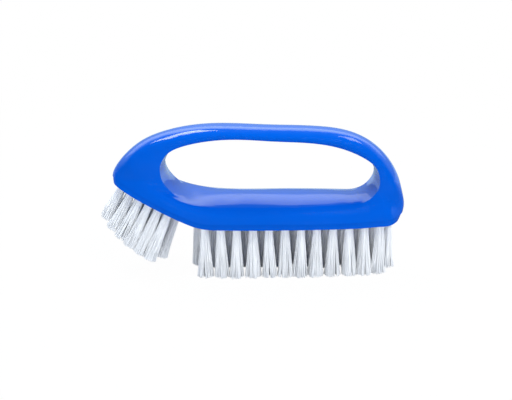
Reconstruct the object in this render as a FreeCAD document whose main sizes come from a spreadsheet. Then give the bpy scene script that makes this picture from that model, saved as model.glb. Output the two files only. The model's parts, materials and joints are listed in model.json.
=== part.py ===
"""Hand scrub brush: a moulded body with a loop handle, and bristle tufts held in blind holes by flat anchors.

Millimetres and degrees. X runs from the nose to the heel, Y across the brush, Z up.
The origin is on the surface that the bristles stand on, under the middle of the brush.
"""
import FreeCAD, Part
import math
import os

Vector = FreeCAD.Vector

# Driving sizes: name, value, what it is
SIZES = [
    ("bristle_length", 31.0, "free length of a main tuft, from the surface up to the tuft face"),
    ("block_width", 44.0, "widest part of the block"),
    ("widest_x", -16.0, "where the block is widest"),
    ("heel_x", 87.8, "back end of the block"),
    ("nose_x", -80.6, "front end of the nose"),
    ("bend_x", -29.5, "where the flat tuft face meets the tilted nose face"),
    ("bend_radius", 33.0, "rounding of that bend"),
    ("nose_tilt", 23.5, "tilt of the nose face"),
    ("rim_height", 3.8, "height of the moulding line above the tuft face"),
    ("rim_inset", 0.4, "how far the lower rim stands in below the moulding line"),
    ("shoulder_height", 11.4, "height of the block's rounded shoulder above the tuft face"),
    ("shoulder_inset", 2.2, "how far the shoulder's ridge stands in from the moulding line"),
    ("shoulder_round", 1.6, "reach of the ridge's rounding"),
    ("heel_lift", 1.8, "how far the shoulder climbs at the heel's corners"),
    ("hull_depth", 12.0, "how far below the tuft face the block's curve closes before it is trimmed"),
    ("deck_height", 12.8, "height of the opening's lower edge above the tuft face"),
    ("opening_height", 36.2, "hand opening, from the deck to the grip bar"),
    ("opening_front_x", -51.6, "foremost point of the hand opening"),
    ("opening_back_x", 71.3, "rearmost point of the hand opening"),
    ("opening_width", 26.0, "width of the handle between the opening's two edges"),
    ("opening_crown", 1.5, "how far the opening's wall swells towards its middle line"),
    ("heel_turn", 12.9, "height of the opening's rearmost point above the deck"),
    ("heel_low_run", 15.0, "length of the opening's lower heel curve"),
    ("heel_high_run", 60.0, "length of the opening's upper heel curve"),
    ("nose_turn", 20.0, "height of the opening's foremost point above the deck"),
    ("nose_run", 26.0, "length of the opening's two nose curves"),
    ("bar_thickness", 6.4, "grip bar above the opening's edge"),
    ("bar_drop", 1.5, "how far the grip bar falls towards the heel"),
    ("heel_crown_height", 5.0, "height of the heel's rearmost point above the tuft face"),
    ("heel_crown_run", 60.0, "length of the outer curve from the heel up to the grip bar"),
    ("nose_crown_run", 70.0, "length of the outer curve from the nose up to the grip bar"),
    ("hole_depth", 8.6, "depth of a tuft's blind hole"),
    ("root_diameter", 4.5, "tuft where it leaves its hole"),
    ("root_clearance", 0.1, "room round a tuft in its hole"),
    ("tip_gap", 1.5, "room left between the spread ends of the main tufts in a row"),
    ("nose_bristle_length", 29.8, "free length of the nose tufts nearest the bend"),
    ("nose_tip_length", 22.8, "free length of the foremost nose tuft"),
    ("near_row_start", 2.2, "from the bend back to the first tuft of the near and far rows"),
    ("near_row_margin", 14.5, "from the last tuft of the near and far rows to the heel"),
    ("middle_row_start", -2.7, "from the bend back to the first tuft of the middle row"),
    ("middle_row_margin", 8.4, "from the last tuft of the middle row to the heel"),
    ("edge_margin", 7.3, "from an outer main tuft's axis to the block's edge"),
    ("nose_margin", 6.0, "from an outer nose tuft's axis to the nose's edge"),
    ("nose_row_start", 18.0, "from the bend to the first pair of nose tufts"),
    ("nose_row_margin", 6.0, "from the foremost nose tuft to the tip of the nose"),
    ("nose_splay", 6.0, "extra lean of the foremost nose tuft"),
    ("side_splay", 5.0, "sideways lean of the outer nose tufts"),
    ("anchor_thickness", 0.4, "flat metal strip that holds the folded filaments"),
    ("anchor_height", 1.9, "width of that strip"),
    ("anchor_bite", 0.5, "how far the strip is driven into each side of the hole"),
    ("anchor_depth", 6.2, "depth of the strip's outer edge in the hole"),
    ("anchor_clearance", 0.05, "room round the strip"),
]
NEAR_ROW_COUNT = 12
MIDDLE_ROW_COUNT = 13
NOSE_PAIR_COUNT = 5

# Exponents of the block's outline in plan
HEEL_FULLNESS = 3.1
NOSE_FULLNESS = 2.9
NOSE_POINT = 1.15

# Fullness of the side view's quarter ovals, along the brush and upwards: 2 is an ellipse, more is squarer
ELLIPSE = (2.0, 2.0)
HEEL_OPENING = (2.25, 2.25)
HEEL_CROWN = (2.9, 1.9)
NOSE_CROWN = (3.0, 1.4)

# Sizes that follow from others, as expressions
NEAR_ROW_LENGTH = "(sizes.heel_x - sizes.near_row_margin - sizes.bend_x - sizes.near_row_start)"
NOSE_ROW_LENGTH = "(sizes.bend_x - sizes.nose_row_start - sizes.nose_x - sizes.nose_row_margin)"
MAIN_TIP_DIAMETER = f"({NEAR_ROW_LENGTH} / {NEAR_ROW_COUNT - 1} - sizes.tip_gap)"
NOSE_TIP_DIAMETER = f"({NOSE_ROW_LENGTH} / {NOSE_PAIR_COUNT} / cos(sizes.nose_tilt))"
ANCHOR_LENGTH = "(sizes.root_diameter + 2 * sizes.root_clearance + 2 * sizes.anchor_bite)"

doc = FreeCAD.newDocument("scrub_brush")
sheet = doc.addObject("Spreadsheet::Sheet", "sizes")
for row, (alias, value, note) in enumerate(SIZES, 1):
    sheet.set(f"A{row}", note)
    sheet.set(f"B{row}", str(value))
    sheet.setAlias(f"B{row}", alias)
doc.recompute()


def size(alias):
    return float(sheet.get(alias))


def along(start, end, distance):
    """The point at a distance from start towards end."""
    return start + (end - start).normalize() * distance


# Outlines that the body follows
def face_height(x):
    """Height of the tuft face at x: flat under the block, rising under the nose."""
    rise = max(0.0, size("bend_x") - x) * math.tan(math.radians(size("nose_tilt")))
    return size("bristle_length") + rise


def half_width(x):
    """Half of the block's width at x: a full curve to the heel, a pointed one to the nose."""
    if x > size("widest_x"):
        share = (x - size("widest_x")) / (size("heel_x") - size("widest_x"))
        curve = (1 - min(1.0, share) ** HEEL_FULLNESS) ** (1 / HEEL_FULLNESS)
    else:
        share = (size("widest_x") - x) / (size("widest_x") - size("nose_x"))
        curve = (1 - min(1.0, share) ** NOSE_FULLNESS) ** (1 / NOSE_POINT)
    return size("block_width") / 2 * curve


def oval(start, run, rise, degrees, fullness=ELLIPSE):
    """A point of a quarter oval that leaves start upright, at 0 degrees, and ends level, at 90."""
    run_fullness, rise_fullness = fullness
    cosine = max(0.0, math.cos(math.radians(degrees))) ** (2 / run_fullness)
    sine = math.sin(math.radians(degrees)) ** (2 / rise_fullness)
    return start + Vector(run * (1 - cosine), 0, rise * sine)


def deck(x):
    """The opening's lower edge at x."""
    return Vector(x, 0, size("bristle_length") + size("deck_height"))


def deck_front():
    """Where the deck's level stretch ends towards the nose."""
    return size("opening_front_x") + size("nose_run")


def deck_back():
    """Where the deck's level stretch ends towards the heel."""
    return size("opening_back_x") - size("heel_low_run")


def bar_top():
    return deck(0).z + size("opening_height") + size("bar_thickness")


def heel_low(degrees):
    """The opening's edge from its rearmost point down to the deck."""
    start = deck(size("opening_back_x")) + Vector(0, 0, size("heel_turn"))
    return oval(start, -size("heel_low_run"), -size("heel_turn"), degrees)


def heel_high(degrees):
    """The opening's edge from its rearmost point up to the grip bar."""
    start = deck(size("opening_back_x")) + Vector(0, 0, size("heel_turn"))
    rise = size("opening_height") - size("heel_turn")
    return oval(start, -size("heel_high_run"), rise, degrees, HEEL_OPENING)


def nose_low(degrees):
    """The opening's edge from its foremost point down to the deck."""
    start = deck(size("opening_front_x")) + Vector(0, 0, size("nose_turn"))
    return oval(start, size("nose_run"), -size("nose_turn"), degrees)


def nose_high(degrees):
    """The opening's edge from its foremost point up to the grip bar."""
    start = deck(size("opening_front_x")) + Vector(0, 0, size("nose_turn"))
    return oval(start, size("nose_run"), size("opening_height") - size("nose_turn"), degrees)


def heel_crown(degrees):
    """The outer middle line from the heel's rearmost point up to the top of the grip bar."""
    start = Vector(size("heel_x"), 0, size("bristle_length") + size("heel_crown_height"))
    rise = bar_top() - size("bar_drop") - start.z
    return oval(start, -size("heel_crown_run"), rise, degrees, HEEL_CROWN)


def nose_crown(degrees):
    """The outer middle line from the tip of the nose up to the top of the grip bar."""
    start = Vector(size("nose_x"), 0, face_height(size("nose_x")) + size("rim_height"))
    return oval(start, size("nose_crown_run"), bar_top() - start.z, degrees, NOSE_CROWN)


# Sections of the body, all the way round the opening
def section(edge, swell, shoulder, rim, crown, crown_spread):
    """Poles of a cubic curve across the body, from one edge of the opening over the outside to the other.

    The curve leaves the edge towards the swell, rounds the shoulder's ridge, passes through the rim and is
    level where it crosses the crown.
    """
    above = along(shoulder, swell, size("shoulder_round"))
    below = along(shoulder, rim, size("shoulder_round"))
    top = crown + Vector(0, crown_spread, 0)
    rim_pole = (rim * 6 - below - top) * 0.25
    near = [edge, swell, above, below, rim_pole, top]
    far = [Vector(point.x, -point.y, point.z) for point in reversed(near)]
    return near + far


def block_section(crease, shoulder_x, rim_x, hull_x, hull_share=1.0, lift=0.0):
    """A section through the block; below the tuft face it closes as a hull that is trimmed off."""
    edge = crease + Vector(0, size("opening_width") / 2, 0)
    shoulder = Vector(shoulder_x, half_width(shoulder_x) - size("shoulder_inset"),
                      face_height(shoulder_x) + size("shoulder_height") + lift)
    rim = Vector(rim_x, half_width(rim_x), face_height(rim_x) + size("rim_height"))
    crown = Vector(hull_x, 0, face_height(hull_x) - hull_share * size("hull_depth"))
    return section(edge, edge + (shoulder - edge) * 0.5, shoulder, rim, crown, half_width(rim_x) * 0.8)


def handle_section(crease, crown, ridge, roundness):
    """A section through the handle, from the opening's edge out to its crown.

    The ridge is where the shoulder stands on that way. At a roundness of 0 the section is broad at the
    opening's edge, as the block is, and at 1 it is an oval bar with its edge turned under.
    """
    across = Vector(0, size("opening_width") / 2, 0)
    outward = crown - crease
    ridge_width = 0.86 - 0.24 * roundness
    rim_width = ridge_width * 0.55
    edge = crease + across * (1 - 0.16 * roundness)
    swell = crease + outward * (0.5 * ridge - 0.16 * roundness) + across * (0.93 + 0.17 * roundness)
    shoulder = crease + outward * ridge + across * ridge_width
    rim = crease + outward * (ridge + (1 - ridge) * 0.65) + across * rim_width
    return section(edge, swell, shoulder, rim, crown, across.y * rim_width * 0.4)


def between(start, end, share):
    return start + (end - start) * share


def body_sections():
    """The sections in order: deck, heel, grip bar, nose and back to the deck."""
    def deck_section(share):
        x = between(deck_front(), deck_back(), share)
        return block_section(deck(x), x, x, x)

    def heel_section(crease, shoulder, rim, hull, hull_share, lift):
        heel = [between(deck_back(), size("heel_x"), share) for share in (shoulder, rim, hull)]
        return block_section(crease, *heel, hull_share, lift * size("heel_lift"))

    def nose_section(crease, shoulder, rim, hull, hull_share):
        nose = [between(size("bend_x"), size("nose_x"), share) for share in (shoulder, rim, hull)]
        return block_section(crease, *nose, hull_share)

    return [
        deck_section(0.62),
        deck_section(0.92),
        heel_section(heel_low(80), 0.18, 0.24, 0.33, 0.92, 0.0),
        heel_section(heel_low(64), 0.4, 0.49, 0.58, 0.75, 0.3),
        heel_section(heel_low(46), 0.6, 0.7, 0.79, 0.5, 1.0),
        handle_section(heel_low(20), heel_crown(0), 0.42, 0.05),
        handle_section(heel_low(0), heel_crown(13), 0.6, 0.25),
        handle_section(heel_high(12), heel_crown(26), 0.68, 0.45),
        handle_section(heel_high(26), heel_crown(42), 0.76, 0.65),
        handle_section(heel_high(50), heel_crown(65), 0.86, 0.85),
        handle_section(heel_high(72), heel_crown(86), 0.91, 0.95),
        handle_section(heel_high(90), between(heel_crown(90), nose_crown(90), 0.5), 0.92, 1.0),
        handle_section(nose_high(90), nose_crown(79), 0.9, 0.9),
        handle_section(nose_high(46), nose_crown(62), 0.82, 0.5),
        handle_section(nose_high(17), nose_crown(38), 0.83, 0.25),
        handle_section(nose_high(5), nose_crown(22), 0.67, 0.1),
        handle_section(nose_low(8), nose_crown(0), 0.48, 0.0),
        nose_section(nose_low(23), 0.63, 0.75, 0.94, 0.5),
        nose_section(nose_low(44), 0.47, 0.54, 0.64, 0.83),
        nose_section(nose_low(67), 0.2, 0.24, 0.3, 1.0),
        deck_section(0.09),
    ]


def stations_along(sections):
    """Where each section lies along the ring, as the running length of the chords, closed."""
    stations = [0.0]
    for start, end in zip(sections, sections[1:] + sections[:1]):
        chords = [(start[pole] - end[pole]).Length for pole in (2, 4)]
        stations.append(stations[-1] + sum(chords) / len(chords))
    return stations


def ring_face(rows, stations, degree):
    """A closed smooth surface: each row of poles runs once round the ring as one smooth curve."""
    curves = []
    seam_step = stations[1] + stations[-1] - stations[-2]
    for row in rows:
        run = (row[1] - row[-1]) / seam_step
        curve = Part.BSplineCurve()
        curve.interpolate(Points=row + row[:1], Parameters=stations, InitialTangent=run, FinalTangent=run,
                          Scale=False)
        curves.append(curve)
    around = curves[0]
    poles = [list(ring) for ring in zip(*[curve.getPoles() for curve in curves])]
    spans = len(rows) - degree
    across_knots = [float(knot) for knot in range(spans + 1)]
    across_mults = [degree + 1] + [1] * (spans - 1) + [degree + 1]
    surface = Part.BSplineSurface()
    surface.buildFromPolesMultsKnots(poles, around.getMultiplicities(), across_mults, around.getKnots(),
                                     across_knots, False, False, around.Degree, degree)
    return surface.toShape()


def opening_ridge(poles):
    """The middle of the opening's wall at a section, where the wall swells furthest into the opening."""
    outward = poles[1] - poles[0]
    outward.y = 0
    middle = Vector(poles[0].x, 0, poles[0].z)
    return middle - outward.normalize() * size("opening_crown")


def drawn_in(poles, inset):
    """A section's poles moved in towards the middle of the brush, by inset at its sides and ends."""
    along_x = 1 - 2 * inset / (size("heel_x") - size("nose_x"))
    along_y = 1 - 2 * inset / size("block_width")
    return [Vector(pole.x * along_x, pole.y * along_y, pole.z) for pole in poles]


def body_skin_shape(inset=0.0):
    """The closed ring of the body, before the tuft face is trimmed."""
    sections = [drawn_in(poles, inset) for poles in body_sections()]
    stations = stations_along(sections)
    rows = [list(row) for row in zip(*sections)]
    ridge = [opening_ridge(poles) for poles in sections]
    shell = Part.makeShell([
        ring_face(rows, stations, 3),
        ring_face([rows[-1], ridge], stations, 1),
        ring_face([ridge, rows[0]], stations, 1),
    ])
    shell.sewShape()
    solid = Part.makeSolid(shell)
    if solid.Volume < 0:
        solid.reverse()
    return solid


def under_face_shape(lift=0.0):
    """Everything below the tuft face: flat under the block, a rounded bend, then tilted under the nose."""
    far = 2 * (size("heel_x") - size("nose_x"))
    tilt = math.radians(size("nose_tilt"))
    bend = Vector(size("bend_x"), 0, size("bristle_length") + lift)
    radius = size("bend_radius")
    tangent = radius * math.tan(tilt / 2)
    nose_run = Vector(-math.cos(tilt), 0, math.sin(tilt))
    main_end = bend + Vector(tangent, 0, 0)
    nose_end = bend + nose_run * tangent
    bend_middle = main_end + Vector(-math.sin(tilt / 2), 0, 1 - math.cos(tilt / 2)) * radius
    corners = [bend + nose_run * far, Vector(-far, 0, -far), Vector(far, 0, -far), Vector(far, 0, bend.z)]
    runs = [nose_end] + corners + [main_end]
    edges = [Part.makeLine(start, end) for start, end in zip(runs, runs[1:])]
    edges.append(Part.Arc(main_end, bend_middle, nose_end).toShape())
    side = Part.Face(Part.Wire(edges))
    side.translate(Vector(0, -size("block_width"), 0))
    return side.extrude(Vector(0, 2 * size("block_width"), 0))


# Document objects
def bound(type_name, name, **expressions):
    """A primitive whose sizes and position follow the sheet."""
    primitive = doc.addObject(type_name, name)
    for path, expression in expressions.items():
        primitive.setExpression(path.replace("at_", "Placement.Base."), expression)
    return primitive


def feature(name, shape):
    item = doc.addObject("Part::Feature", name)
    item.Shape = shape
    return item


def joined(name, *pieces):
    fuse = doc.addObject("Part::MultiFuse", name)
    fuse.Shapes = list(pieces)
    fuse.Refine = False
    return fuse


def cut(name, base, tool):
    difference = doc.addObject("Part::Cut", name)
    difference.Base = base
    difference.Tool = tool
    difference.Refine = False
    return difference


def placed(shape, seat):
    """A copy of a pattern moved to a seat."""
    copy = shape.copy()
    copy.Placement = seat.multiply(shape.Placement)
    return copy


# Tufts, holes and anchors, each made with its hole's mouth at the origin and its root upwards
def strip(name, room, reach):
    """The flat anchor across a hole, or the slot that it sits in."""
    thickness = f"(sizes.anchor_thickness + 2 * {room})"
    length = f"({reach} + 2 * {room})"
    return bound("Part::Box", name, Length=thickness, Width=length,
                 Height=f"sizes.anchor_height + 2 * {room}",
                 at_x=f"-{thickness} / 2", at_y=f"-{length} / 2", at_z=f"sizes.anchor_depth - {room}")


def add_tuft(name, seat, length, tip_diameter):
    """A tuft: a spread brush outside the hole, a bound root in it and a slot for its anchor."""
    brush = bound("Part::Cone", f"{name}_brush", Radius1=f"{tip_diameter} / 2",
                  Radius2="sizes.root_diameter / 2", Height=length, at_z=f"-({length})")
    root = bound("Part::Cylinder", f"{name}_root", Radius="sizes.root_diameter / 2",
                 Height="sizes.hole_depth - sizes.root_clearance")
    slot = strip(f"{name}_slot", "sizes.anchor_clearance", "2 * sizes.root_diameter")
    tuft = cut(name, joined(f"{name}_solid", brush, root), slot)
    tuft.Placement = seat
    return tuft


def hole_pattern():
    """A blind hole, begun outside the face, with the slot that its anchor is driven into."""
    bore = bound("Part::Cylinder", "hole_bore", Radius="sizes.root_diameter / 2 + sizes.root_clearance",
                 Height="2 * sizes.hole_depth", at_z="-sizes.hole_depth")
    slot = strip("hole_slot", "sizes.anchor_clearance", ANCHOR_LENGTH)
    return joined("hole", bore, slot)


# Where the tufts stand: for each, its name and the placement of its hole
def row_places(row, count):
    """Even places along X for a row of main tufts, from near the bend to near the heel."""
    first = size("bend_x") + size(f"{row}_start")
    last = size("heel_x") - size(f"{row}_margin")
    return [between(first, last, index / (count - 1)) for index in range(count)]


def main_seats():
    """Three rows under the block, the outer two following its edge."""
    mouths = []
    for side, sign in (("near", -1), ("far", 1)):
        for index, x in enumerate(row_places("near_row", NEAR_ROW_COUNT), 1):
            y = half_width(x) - size("edge_margin")
            mouths.append((f"main_tuft_{side}_{index:02d}", Vector(x, sign * y, face_height(x))))
    for index, x in enumerate(row_places("middle_row", MIDDLE_ROW_COUNT), 1):
        mouths.append((f"main_tuft_middle_{index:02d}", Vector(x, 0, face_height(x))))
    return [(name, FreeCAD.Placement(mouth, FreeCAD.Rotation())) for name, mouth in mouths]


def nose_spots():
    """Under the nose: steps forward of the first pair, and share of the way out to the edge tufts."""
    pairs = [(step, side) for step in range(NOSE_PAIR_COUNT) for side in (-1.0, 1.0)]
    inner = [(-0.85, -0.4), (-0.85, 0.4), (0.25, 0.0), (1.35, -0.42), (1.35, 0.42), (2.6, 0.0)]
    tip = [(float(NOSE_PAIR_COUNT), 0.0)]
    return pairs + inner + tip


def nose_seats():
    """The nose's tufts lean outwards, more towards the tip and the sides."""
    seats = []
    first = size("bend_x") - size("nose_row_start")
    last = size("nose_x") + size("nose_row_margin")
    widest = half_width(first) - size("nose_margin")
    for index, (steps, side) in enumerate(nose_spots(), 1):
        x = between(first, last, steps / NOSE_PAIR_COUNT)
        y = side * (half_width(x) - size("nose_margin"))
        lean = size("nose_tilt") + size("nose_splay") * steps / NOSE_PAIR_COUNT
        sideways = size("side_splay") * y / widest
        turn = FreeCAD.Rotation(Vector(0, 1, 0), lean) * FreeCAD.Rotation(Vector(1, 0, 0), sideways)
        seats.append((f"nose_tuft_{index:02d}", FreeCAD.Placement(Vector(x, y, face_height(x)), turn)))
    return seats


# Sub-parts
def add_body(hole, seats):
    """The moulding: a skin trimmed at the tuft face, a rim set in below the moulding line, and the holes."""
    skin = feature("body_skin", body_skin_shape())
    rim_skin = feature("rim_skin", body_skin_shape(size("rim_inset")))
    below_face = feature("below_face", under_face_shape())
    below_line = feature("below_line", under_face_shape(size("rim_height")))
    rim_zone = cut("rim_zone", below_line, below_face)
    rim_step = cut("rim_step", rim_zone, rim_skin)
    trimmed = cut("body_trimmed", skin, below_face)
    stepped = cut("body_stepped", trimmed, rim_step)
    holes = feature("tuft_holes", Part.makeCompound([placed(hole.Shape, seat) for _, seat in seats]))
    return cut("body", stepped, holes)


def add_main_tufts():
    length = "sizes.bristle_length"
    return [add_tuft(name, seat, length, MAIN_TIP_DIAMETER) for name, seat in main_seats()]


def add_nose_tufts():
    """The nose's tufts are trimmed on a curve, shorter towards the tip."""
    tufts = []
    for (name, seat), (steps, _) in zip(nose_seats(), nose_spots()):
        share = (steps / NOSE_PAIR_COUNT) ** 2
        length = f"sizes.nose_bristle_length + (sizes.nose_tip_length - sizes.nose_bristle_length) * {share}"
        tufts.append(add_tuft(name, seat, length, NOSE_TIP_DIAMETER))
    return tufts


def add_anchors(name, anchor, seats):
    """A group of identical anchors, one in each hole."""
    return feature(name, Part.makeCompound([placed(anchor.Shape, seat) for _, seat in seats]))


def check(nodes):
    """Stop before anything is written if an object failed or a sub-part isn't a sound solid."""
    for item in doc.Objects:
        if "Invalid" in item.State or "Error" in item.State:
            raise RuntimeError(f"{item.Name} failed: {item.State}")
    for node in nodes:
        if node.Shape.isNull() or not node.Shape.isValid() or not node.Shape.Solids:
            raise RuntimeError(f"{node.Label} has no sound shape")


def build():
    hole = hole_pattern()
    anchor = strip("anchor", "0", ANCHOR_LENGTH)
    doc.recompute()
    nodes = [add_body(hole, main_seats() + nose_seats())]
    nodes += add_main_tufts()
    nodes += add_nose_tufts()
    nodes.append(add_anchors("main_anchors", anchor, main_seats()))
    nodes.append(add_anchors("nose_anchors", anchor, nose_seats()))
    doc.recompute()
    check(nodes)
    os.makedirs("parts", exist_ok=True)
    for node in nodes:
        node.Shape.exportStep(f"parts/{node.Label}.step")
    print(f"{len(nodes)} nodes, body {nodes[0].Shape.Volume:.0f} mm3, solids {len(nodes[0].Shape.Solids)}")


build()
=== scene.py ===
"""Looks of the hand scrub brush: a glossy moulded body, tufts of separate filaments and a white studio.

Metres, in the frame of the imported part: X from nose to heel, Y across, Z up from the bristle ends.
"""

import json
import math
import random
from collections import namedtuple

import bpy
import numpy as np
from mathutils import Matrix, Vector

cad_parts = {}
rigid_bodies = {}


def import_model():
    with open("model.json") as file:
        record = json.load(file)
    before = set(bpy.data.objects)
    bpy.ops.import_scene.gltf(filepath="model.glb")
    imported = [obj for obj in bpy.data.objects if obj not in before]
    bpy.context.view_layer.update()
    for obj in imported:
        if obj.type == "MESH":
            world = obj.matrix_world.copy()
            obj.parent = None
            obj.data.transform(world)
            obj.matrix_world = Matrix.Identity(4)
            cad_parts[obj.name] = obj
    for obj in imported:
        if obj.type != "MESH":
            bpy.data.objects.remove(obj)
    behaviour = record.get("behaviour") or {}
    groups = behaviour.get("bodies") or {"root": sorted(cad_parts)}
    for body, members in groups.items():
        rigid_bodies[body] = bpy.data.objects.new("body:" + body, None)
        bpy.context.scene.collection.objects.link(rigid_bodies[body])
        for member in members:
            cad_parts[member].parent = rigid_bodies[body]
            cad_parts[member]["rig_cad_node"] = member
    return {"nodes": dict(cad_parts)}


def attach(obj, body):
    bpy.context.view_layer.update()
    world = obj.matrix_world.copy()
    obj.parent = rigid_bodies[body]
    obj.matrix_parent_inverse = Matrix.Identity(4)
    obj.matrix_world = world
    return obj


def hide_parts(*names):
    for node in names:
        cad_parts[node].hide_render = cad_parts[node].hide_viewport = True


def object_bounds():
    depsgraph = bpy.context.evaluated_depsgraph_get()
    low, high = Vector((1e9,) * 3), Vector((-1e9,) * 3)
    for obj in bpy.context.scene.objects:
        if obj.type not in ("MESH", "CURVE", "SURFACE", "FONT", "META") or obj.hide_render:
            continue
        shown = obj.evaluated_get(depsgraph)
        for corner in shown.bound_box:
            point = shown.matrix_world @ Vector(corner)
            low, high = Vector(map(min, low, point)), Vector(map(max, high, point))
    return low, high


MM = 0.001

# Photograph's camera
VIEW_TARGET = Vector((1.9, 0.0, 41.6)) * MM
VIEW_DISTANCE = 450 * MM
VIEW_ELEVATION = 20.5
FOCAL_PIXELS = 774
IMAGE_WIDTH_PIXELS = 512
SENSOR_WIDTH = 36.0
CLIP_START = 10 * MM

# Colours, from dark to light
BODY_BLUES = ((0.0, 0.086, 0.52), (0.0, 0.096, 0.58), (0.0, 0.106, 0.64))
# The darkest bristle white is mostly reached where painted shade darkens the filament ends
BRISTLE_WHITES = ((0.6, 0.62, 0.65), (0.94, 0.95, 0.96), (0.99, 0.99, 0.985))
ANCHOR_GREYS = ((0.42, 0.42, 0.41), (0.66, 0.66, 0.64))
FLOOR_GREYS = ((0.78, 0.78, 0.78), (0.82, 0.82, 0.82))

# How the body's skin is joined and split, and how often its shading normals are then evened
JOIN_DISTANCE = 0.001 * MM
EDGE_ANGLE = math.radians(35)
NORMAL_PASSES = 12

# How much of a CAD tuft is inside its hole, and how much of that the filaments have
ROOT_LENGTH = 8.5 * MM
ROOT_SHOWN = 2.0 * MM

# How a CAD tuft is measured: the thickness of a slice at each end, and how often its axis is refined
END_SLICE = 0.1 * MM
AXIS_PASSES = 2
MICROMETRE_PLACES = 6

# Filaments
FILAMENT_RADIUS = 0.2 * MM
FILAMENT_MARGIN = 1.05 * FILAMENT_RADIUS
FILAMENTS_PER_TUFT = 210
FILAMENT_SIDES = 4
GOLDEN_ANGLE = math.radians(137.5)
RING_SHARES = (0.0, 0.25, 0.5, 0.75, 0.985, 1.0)
END_RINGS = 2
SCATTER = 0.08
BOW = 0.2 * MM
RAGGED_ENDS = 0.35 * MM

# A direction that no filament runs along
NOT_ALONG = Vector((0.3, 1, 0.1))

# How tufts open to their ends: least and most spread, the curve of it, clumps, and the main tufts' lean
MAIN_FLARES = (1.24, 1.36)
NOSE_FLARES = (1.4, 1.6)
FLARE_CURVE = 1.5
CLUMPS_PER_TUFT = 9
CLUMP_PULL = 0.2
LEAN_TO_HEEL = 0.35 * MM
LEAN_SPREAD_ALONG = 0.35 * MM
LEAN_SPREAD_ACROSS = 0.25 * MM

# How light filaments are, how much that varies, and the share of them with deeper painted shade on their
# ends
Look = namedtuple("Look", "lightness spread dark_ends")
MAIN_LOOK = Look(0.7, 0.2, 0.3)
NOSE_LOOK = Look(0.4, 0.08, 0.04)
# Painted shade on filament ends: how much darker every end is, and how much darker the ends of that share
# are
END_SHADE_DROP = 0.1
DEEP_END_SHADE_DROP = 0.45

# Floor, and how much of it near the brush and far off is plain white; the rest shows the shadow
FLOOR_HALF = 4.0
FLOOR_DROP = 0.1 * MM
PLAIN_NEAR = 0.98
PLAIN_FAR = 1.0
NEAR_DISTANCE = 0.1
FAR_DISTANCE = 0.5

# Soft light from all round
SOFT_COLOUR = (0.76, 0.86, 1.0)
SOFT_STRENGTH = 0.74

# How white the sweep behind the brush is, from the floor's edge up to overhead, as gloss shows it
SWEEP_TONES = (0.45, 0.8, 1.0, 0.25, 0.04)

# Where along Y the sweep starts and is full: metres on the floor, and part of a direction in the world
SWEEP_START = 0.0
SWEEP_FULL = 0.3

# Colour of the white behind as the camera sees it, and as gloss does
WHITE = (1.0, 1.0, 1.0)
COOL_WHITE = (0.7, 0.93, 1.0)

Tuft = namedtuple("Tuft", "mouth axis side other length root_radius tip_radius clumps lean")

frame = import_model()
cad_low, cad_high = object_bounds()


# Materials
def new_material(name):
    material = bpy.data.materials.new(name)
    material.use_nodes = True
    nodes = material.node_tree.nodes
    return material, nodes, material.node_tree.links, nodes["Principled BSDF"]


def noise(nodes, links, coordinates, scale, detail):
    texture = nodes.new("ShaderNodeTexNoise")
    texture.inputs["Scale"].default_value = scale
    texture.inputs["Detail"].default_value = detail
    links.new(coordinates, texture.inputs["Vector"])
    return texture.outputs["Fac"]


def spread(nodes, links, value, low, high, start=0.3, end=0.7):
    """A value mapped from one range to another; the first is the middle of a noise unless given."""
    mapped = nodes.new("ShaderNodeMapRange")
    mapped.inputs["From Min"].default_value = start
    mapped.inputs["From Max"].default_value = end
    mapped.inputs["To Min"].default_value = low
    mapped.inputs["To Max"].default_value = high
    links.new(value, mapped.inputs["Value"])
    return mapped.outputs["Result"]


def combine(nodes, links, operation, first, second):
    """Two values put together by a maths node, kept between 0 and 1."""
    node = nodes.new("ShaderNodeMath")
    node.operation = operation
    node.use_clamp = True
    links.new(first, node.inputs[0])
    links.new(second, node.inputs[1])
    return node.outputs["Value"]


def ramp(nodes, links, value, colours):
    """A colour ramp through evenly spaced colours."""
    colour_ramp = nodes.new("ShaderNodeValToRGB")
    elements = colour_ramp.color_ramp.elements
    while len(elements) < len(colours):
        elements.new(0.5)
    for index, colour in enumerate(colours):
        elements[index].position = index / (len(colours) - 1)
        elements[index].color = (*colour, 1)
    links.new(value, colour_ramp.inputs["Fac"])
    return colour_ramp.outputs["Color"]


def bump(nodes, links, shader, height, strength, distance):
    node = nodes.new("ShaderNodeBump")
    node.inputs["Strength"].default_value = strength
    node.inputs["Distance"].default_value = distance
    links.new(height, node.inputs["Height"])
    links.new(node.outputs["Normal"], shader.inputs["Normal"])


def body_plastic():
    """Glossy blue moulded plastic: faint flow in the colour, uneven gloss and a moulded skin's ripple."""
    material, nodes, links, shader = new_material("body_plastic")
    place = nodes.new("ShaderNodeTexCoord").outputs["Object"]
    flow = noise(nodes, links, place, scale=22.0, detail=4.0)
    links.new(ramp(nodes, links, flow, BODY_BLUES), shader.inputs["Base Color"])
    gloss = noise(nodes, links, place, scale=160.0, detail=4.0)
    links.new(spread(nodes, links, gloss, low=0.08, high=0.12), shader.inputs["Roughness"])
    shader.inputs["Specular IOR Level"].default_value = 0.5
    ripple = noise(nodes, links, place, scale=140.0, detail=2.0)
    bump(nodes, links, shader, ripple, strength=0.02, distance=0.1 * MM)
    return material


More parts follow.
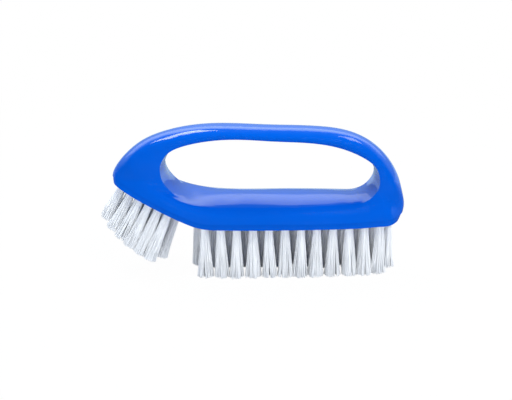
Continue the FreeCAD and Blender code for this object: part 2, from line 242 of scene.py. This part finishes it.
def bristle_nylon():
    """White filaments, each a little lighter or darker, with a slow change of tone and painted shade
    darkening their ends.
    """
    material, nodes, links, shader = new_material("bristle_nylon")
    tone = nodes.new("ShaderNodeAttribute")
    tone.attribute_name = "tone"
    place = nodes.new("ShaderNodeTexCoord").outputs["Object"]
    streak = noise(nodes, links, place, scale=260.0, detail=3.0)
    change = spread(nodes, links, streak, low=0.0, high=0.3)
    # The tone attribute carries each filament's own lightness and the painted shade on its end rings
    mixed = combine(nodes, links, "ADD", tone.outputs["Fac"], change)
    links.new(ramp(nodes, links, mixed, BRISTLE_WHITES), shader.inputs["Base Color"])
    links.new(spread(nodes, links, streak, low=0.38, high=0.55), shader.inputs["Roughness"])
    shader.inputs["Specular IOR Level"].default_value = 0.35
    return material


def anchor_metal():
    """Bare metal strip with a fine uneven scuff."""
    material, nodes, links, shader = new_material("anchor_metal")
    place = nodes.new("ShaderNodeTexCoord").outputs["Object"]
    scuff = noise(nodes, links, place, scale=900.0, detail=5.0)
    links.new(ramp(nodes, links, scuff, ANCHOR_GREYS), shader.inputs["Base Color"])
    links.new(spread(nodes, links, scuff, low=0.25, high=0.45), shader.inputs["Roughness"])
    shader.inputs["Metallic"].default_value = 1.0
    bump(nodes, links, shader, scuff, strength=0.1, distance=0.05 * MM)
    return material


# Tufts
def tuft_line(node):
    """A tuft's mouth, tip and two radii, measured on its CAD solid: a round bar with flat ends."""
    corners = [vertex.co for vertex in node.data.vertices]
    points = np.unique(np.round(corners, MICROMETRE_PLACES), axis=0)
    middle = points.mean(axis=0)
    axis = np.linalg.eigh(np.cov((points - middle).T))[1][:, -1]
    axis *= -np.sign(axis[2])
    for _ in range(AXIS_PASSES):
        along = (points - middle) @ axis
        root = points[along < along.min() + END_SLICE].mean(axis=0)
        tip = points[along > along.max() - END_SLICE].mean(axis=0)
        axis = (tip - root) / np.linalg.norm(tip - root)
    along = (points - root) @ axis
    from_axis = np.linalg.norm((points - root) - np.outer(along, axis), axis=1)
    root_radius = from_axis[along < END_SLICE].max()
    tip_radius = from_axis[along > along.max() - END_SLICE].max()
    return Vector(root + axis * ROOT_LENGTH), Vector(tip), root_radius, tip_radius


def measure_tuft(node, chance, flare, lean):
    """What a tuft's filaments follow: its CAD solid, its own clumps, and how its ends spread and lean."""
    mouth, tip, root_radius, tip_radius = tuft_line(node)
    axis = (tip - mouth).normalized()
    side = axis.cross(Vector((0, 1, 0))).normalized()
    clumps = []
    for _ in range(CLUMPS_PER_TUFT):
        turn = chance.uniform(0, math.tau)
        clumps.append(Vector((math.cos(turn), math.sin(turn))) * math.sqrt(chance.random()))
    return Tuft(mouth, axis, side, axis.cross(side), (tip - mouth).length, root_radius - FILAMENT_RADIUS,
                tip_radius * flare - FILAMENT_RADIUS, clumps, lean)


def kept_inside(point):
    """A point moved, where need be, so that a filament there stays inside the box round the CAD part."""
    return Vector([min(max(value, low + FILAMENT_MARGIN), high - FILAMENT_MARGIN)
                   for value, low, high in zip(point, cad_low, cad_high)])


def filament_points(chance, index, tuft):
    """The middle line of one filament, from just inside the hole to its trimmed end."""
    turn = index * GOLDEN_ANGLE
    spot = Vector((math.cos(turn), math.sin(turn))) * math.sqrt((index + 0.5) / FILAMENTS_PER_TUFT)
    tip = spot + Vector((chance.gauss(0, SCATTER), chance.gauss(0, SCATTER)))
    clump = min(tuft.clumps, key=lambda centre: (centre - tip).length)
    tip = tip.lerp(clump, CLUMP_PULL)
    bow = Vector((chance.gauss(0, BOW), chance.gauss(0, BOW)))
    end = tuft.length - abs(chance.gauss(0, RAGGED_ENDS))
    points = []
    for share in RING_SHARES:
        depth = -ROOT_SHOWN + (end + ROOT_SHOWN) * share
        opened = max(0.0, depth / tuft.length) ** FLARE_CURVE
        offset = (spot * tuft.root_radius).lerp(tip * tuft.tip_radius + tuft.lean, opened)
        offset += bow * math.sin(math.pi * share)
        point = tuft.mouth + tuft.axis * depth + tuft.side * offset.x + tuft.other * offset.y
        points.append(kept_inside(point))
    return points


def filament_tones(chance, look):
    """How light each ring of a filament is: one tone, with painted shade on its end, deeper on some of
    them.
    """
    tone = chance.uniform(look.lightness - look.spread, look.lightness + look.spread)
    # Painted shade: the end rings are darker than the rest of the filament
    shaded_end_tone = tone - (DEEP_END_SHADE_DROP if chance.random() < look.dark_ends else END_SHADE_DROP)
    plain = [tone] * ((len(RING_SHARES) - END_RINGS) * FILAMENT_SIDES)
    return plain + [shaded_end_tone] * (END_RINGS * FILAMENT_SIDES)


def add_filament(points, vertices, faces):
    """A thin tube along points, added to lists of vertices and faces, closed at its far end."""
    start = len(vertices)
    for ring, point in enumerate(points):
        ahead = points[min(ring + 1, len(points) - 1)] - points[max(ring - 1, 0)]
        side = ahead.cross(NOT_ALONG).normalized()
        other = ahead.cross(side).normalized()
        for corner in range(FILAMENT_SIDES):
            turn = math.tau * corner / FILAMENT_SIDES
            vertices.append(point + (side * math.cos(turn) + other * math.sin(turn)) * FILAMENT_RADIUS)
    for ring in range(len(points) - 1):
        for corner in range(FILAMENT_SIDES):
            beside = (corner + 1) % FILAMENT_SIDES
            low = start + ring * FILAMENT_SIDES
            high = low + FILAMENT_SIDES
            faces.append((low + corner, low + beside, high + beside, high + corner))
    last = start + (len(points) - 1) * FILAMENT_SIDES
    faces.append(tuple(last + corner for corner in range(FILAMENT_SIDES)))


def make_tuft(name, node, seed, material):
    """A tuft of separate filaments in the place of its CAD solid."""
    chance = random.Random(seed)
    if name.startswith("main"):
        flare = chance.uniform(*MAIN_FLARES)
        look = MAIN_LOOK
        lean = Vector((chance.gauss(LEAN_TO_HEEL, LEAN_SPREAD_ALONG), chance.gauss(0, LEAN_SPREAD_ACROSS)))
    else:
        flare = chance.uniform(*NOSE_FLARES)
        look = NOSE_LOOK
        lean = Vector((0, 0))
    tuft = measure_tuft(node, chance, flare, lean)
    vertices, faces, tones = [], [], []
    for index in range(FILAMENTS_PER_TUFT):
        add_filament(filament_points(chance, index, tuft), vertices, faces)
        tones += filament_tones(chance, look)
    mesh = bpy.data.meshes.new(name)
    mesh.from_pydata(vertices, [], faces)
    mesh.shade_smooth()
    mesh.attributes.new("tone", "FLOAT", "POINT").data.foreach_set("value", tones)
    mesh.materials.append(material)
    bristles = bpy.data.objects.new(name, mesh)
    bpy.context.scene.collection.objects.link(bristles)
    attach(bristles, "root")
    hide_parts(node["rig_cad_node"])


def dress(node, material):
    """A CAD node that stays as it is, with a better material."""
    node.data.materials.clear()
    node.data.materials.append(material)


def even_shading(node):
    """Shading normals worked out afresh across a moulded skin, so that its highlights run smoothly."""
    node.modifiers.new("joined", "WELD").merge_threshold = JOIN_DISTANCE
    node.modifiers.new("edges", "EDGE_SPLIT").split_angle = EDGE_ANGLE
    group = bpy.data.node_groups.new("evened_normals", "GeometryNodeTree")
    group.interface.new_socket("Skin", in_out="INPUT", socket_type="NodeSocketGeometry")
    group.interface.new_socket("Skin", in_out="OUTPUT", socket_type="NodeSocketGeometry")
    nodes = group.nodes
    links = group.links
    blur = nodes.new("GeometryNodeBlurAttribute")
    blur.data_type = "FLOAT_VECTOR"
    blur.inputs["Iterations"].default_value = NORMAL_PASSES
    links.new(nodes.new("GeometryNodeInputNormal").outputs["Normal"], blur.inputs["Value"])
    evened = nodes.new("GeometryNodeSetMeshNormal")
    evened.mode = "FREE"
    evened.domain = "POINT"
    links.new(nodes.new("NodeGroupInput").outputs["Skin"], evened.inputs["Mesh"])
    links.new(blur.outputs["Value"], evened.inputs["Custom Normal"])
    links.new(evened.outputs["Mesh"], nodes.new("NodeGroupOutput").inputs["Skin"])
    node.modifiers.new("normals", "NODES").node_group = group


def add_pieces():
    nylon = bristle_nylon()
    metal = anchor_metal()
    for seed, (name, node) in enumerate(sorted(frame["nodes"].items())):
        if "_tuft_" in name:
            make_tuft(name.replace("_tuft_", "_bristles_"), node, seed, nylon)
        elif name.endswith("_anchors"):
            dress(node, metal)
    body = frame["nodes"]["body"]
    dress(body, body_plastic())
    even_shading(body)


# Studio
def background_rays(nodes, links):
    """Which rays see the background: 1 for the camera's own, and for those off gloss or through glass.

    Gives that value, and 1 for the camera's own alone.
    """
    ray = nodes.new("ShaderNodeLightPath").outputs
    off_gloss = combine(nodes, links, "ADD", ray["Is Camera Ray"], ray["Is Glossy Ray"])
    return combine(nodes, links, "ADD", off_gloss, ray["Is Transmission Ray"]), ray["Is Camera Ray"]


def behind_brush(nodes, links, coordinates):
    """A value that goes from 0 in front of the brush to 1 behind it."""
    split = nodes.new("ShaderNodeSeparateXYZ")
    links.new(coordinates, split.inputs["Vector"])
    return spread(nodes, links, split.outputs["Y"], low=0.0, high=1.0, start=SWEEP_START, end=SWEEP_FULL)


def set_white(nodes, links, white, camera, behind):
    """A shader's light: plain white to the camera, and to gloss cool white as far as it is behind."""
    links.new(ramp(nodes, links, camera, (COOL_WHITE, WHITE)), white.inputs["Color"])
    links.new(combine(nodes, links, "MAXIMUM", camera, behind), white.inputs["Strength"])


def mix_to_surface(nodes, links, share, first, second, output):
    """Two shaders mixed by a share of the second, and given to an output node."""
    mix = nodes.new("ShaderNodeMixShader")
    links.new(share, mix.inputs["Fac"])
    links.new(first, mix.inputs[1])
    links.new(second, mix.inputs[2])
    links.new(mix.outputs["Shader"], output.inputs["Surface"])


def floor_material():
    """White to the camera, with a faint shadow; to gloss, cool white behind the brush, dark in front."""
    material, nodes, links, shader = new_material("studio_floor")
    place = nodes.new("ShaderNodeTexCoord").outputs["Object"]
    grain = noise(nodes, links, place, scale=8.0, detail=3.0)
    links.new(ramp(nodes, links, grain, FLOOR_GREYS), shader.inputs["Base Color"])
    shader.inputs["Roughness"].default_value = 0.9
    shader.inputs["Specular IOR Level"].default_value = 0.0
    seen, camera = background_rays(nodes, links)
    white = nodes.new("ShaderNodeEmission")
    set_white(nodes, links, white, camera, behind_brush(nodes, links, place))
    distance = nodes.new("ShaderNodeVectorMath")
    distance.operation = "LENGTH"
    links.new(place, distance.inputs[0])
    plain = spread(nodes, links, distance.outputs["Value"], low=PLAIN_NEAR, high=PLAIN_FAR,
                   start=NEAR_DISTANCE, end=FAR_DISTANCE)
    share = combine(nodes, links, "MULTIPLY", seen, plain)
    mix_to_surface(nodes, links, share, shader.outputs["BSDF"], white.outputs["Emission"],
                   nodes["Material Output"])
    return material


def add_floor():
    """A plain square floor, just under the ends of the bristles."""
    corners = [(-FLOOR_HALF, -FLOOR_HALF, 0), (FLOOR_HALF, -FLOOR_HALF, 0),
               (FLOOR_HALF, FLOOR_HALF, 0), (-FLOOR_HALF, FLOOR_HALF, 0)]
    mesh = bpy.data.meshes.new("floor")
    mesh.from_pydata(corners, [], [(0, 1, 2, 3)])
    mesh.materials.append(floor_material())
    floor = bpy.data.objects.new("floor", mesh)
    floor.location.z = -FLOOR_DROP
    bpy.context.scene.collection.objects.link(floor)


def add_world():
    """Soft light all round; the camera sees white, and gloss a cool white sweep behind, dark in front."""
    world = bpy.data.worlds.new("studio")
    world.use_nodes = True
    nodes = world.node_tree.nodes
    links = world.node_tree.links
    soft = nodes["Background"]
    soft.inputs["Color"].default_value = (*SOFT_COLOUR, 1)
    soft.inputs["Strength"].default_value = SOFT_STRENGTH
    seen, camera = background_rays(nodes, links)
    place = nodes.new("ShaderNodeTexCoord").outputs["Generated"]
    sweep = nodes.new("ShaderNodeSeparateXYZ")
    links.new(place, sweep.inputs["Vector"])
    height = ramp(nodes, links, sweep.outputs["Z"], [(grey, grey, grey) for grey in SWEEP_TONES])
    behind = combine(nodes, links, "MULTIPLY", behind_brush(nodes, links, place), height)
    white = nodes.new("ShaderNodeBackground")
    set_white(nodes, links, white, camera, behind)
    mix_to_surface(nodes, links, seen, soft.outputs["Background"], white.outputs["Background"],
                   nodes["World Output"])
    bpy.context.scene.world = world


def add_light(name, place, width, height, power, mirrored=True):
    """A soft lamp turned to the brush; one that isn't mirrored lights it without showing in its gloss."""
    light = bpy.data.lights.new(name, "AREA")
    light.shape = "RECTANGLE"
    light.size = width
    light.size_y = height
    light.energy = power
    lamp = bpy.data.objects.new(name, light)
    lamp.location = place
    lamp.rotation_euler = (VIEW_TARGET - Vector(place)).to_track_quat("-Z", "Y").to_euler()
    lamp.visible_glossy = mirrored
    bpy.context.scene.collection.objects.link(lamp)


def add_lights():
    add_light("overhead_left", (-0.3, 0.28, 0.75), width=0.5, height=0.2, power=2.8)
    add_light("overhead_right", (0.45, 0.25, 0.75), width=0.3, height=0.2, power=0.8)
    add_light("behind", (0.0, 0.75, 0.52), width=2.4, height=0.36, power=2.4)
    add_light("key", (0.4, -0.45, 0.85), width=0.5, height=0.5, power=5.0, mirrored=False)
    add_light("front", (-0.2, -1.0, 0.4), width=0.3, height=0.3, power=1.9, mirrored=False)


def add_camera():
    camera = bpy.data.cameras.new("camera")
    camera.sensor_width = SENSOR_WIDTH
    camera.lens = FOCAL_PIXELS * SENSOR_WIDTH / IMAGE_WIDTH_PIXELS
    camera.clip_start = CLIP_START
    view = bpy.data.objects.new("camera", camera)
    rise = math.radians(VIEW_ELEVATION)
    back = Vector((0, -math.cos(rise), math.sin(rise)))
    view.location = VIEW_TARGET + back * VIEW_DISTANCE
    view.rotation_euler = (-back).to_track_quat("-Z", "Y").to_euler()
    bpy.context.scene.collection.objects.link(view)
    bpy.context.scene.camera = view


add_pieces()
add_floor()
add_world()
add_lights()
add_camera()
bpy.context.scene.view_settings.view_transform = "Standard"
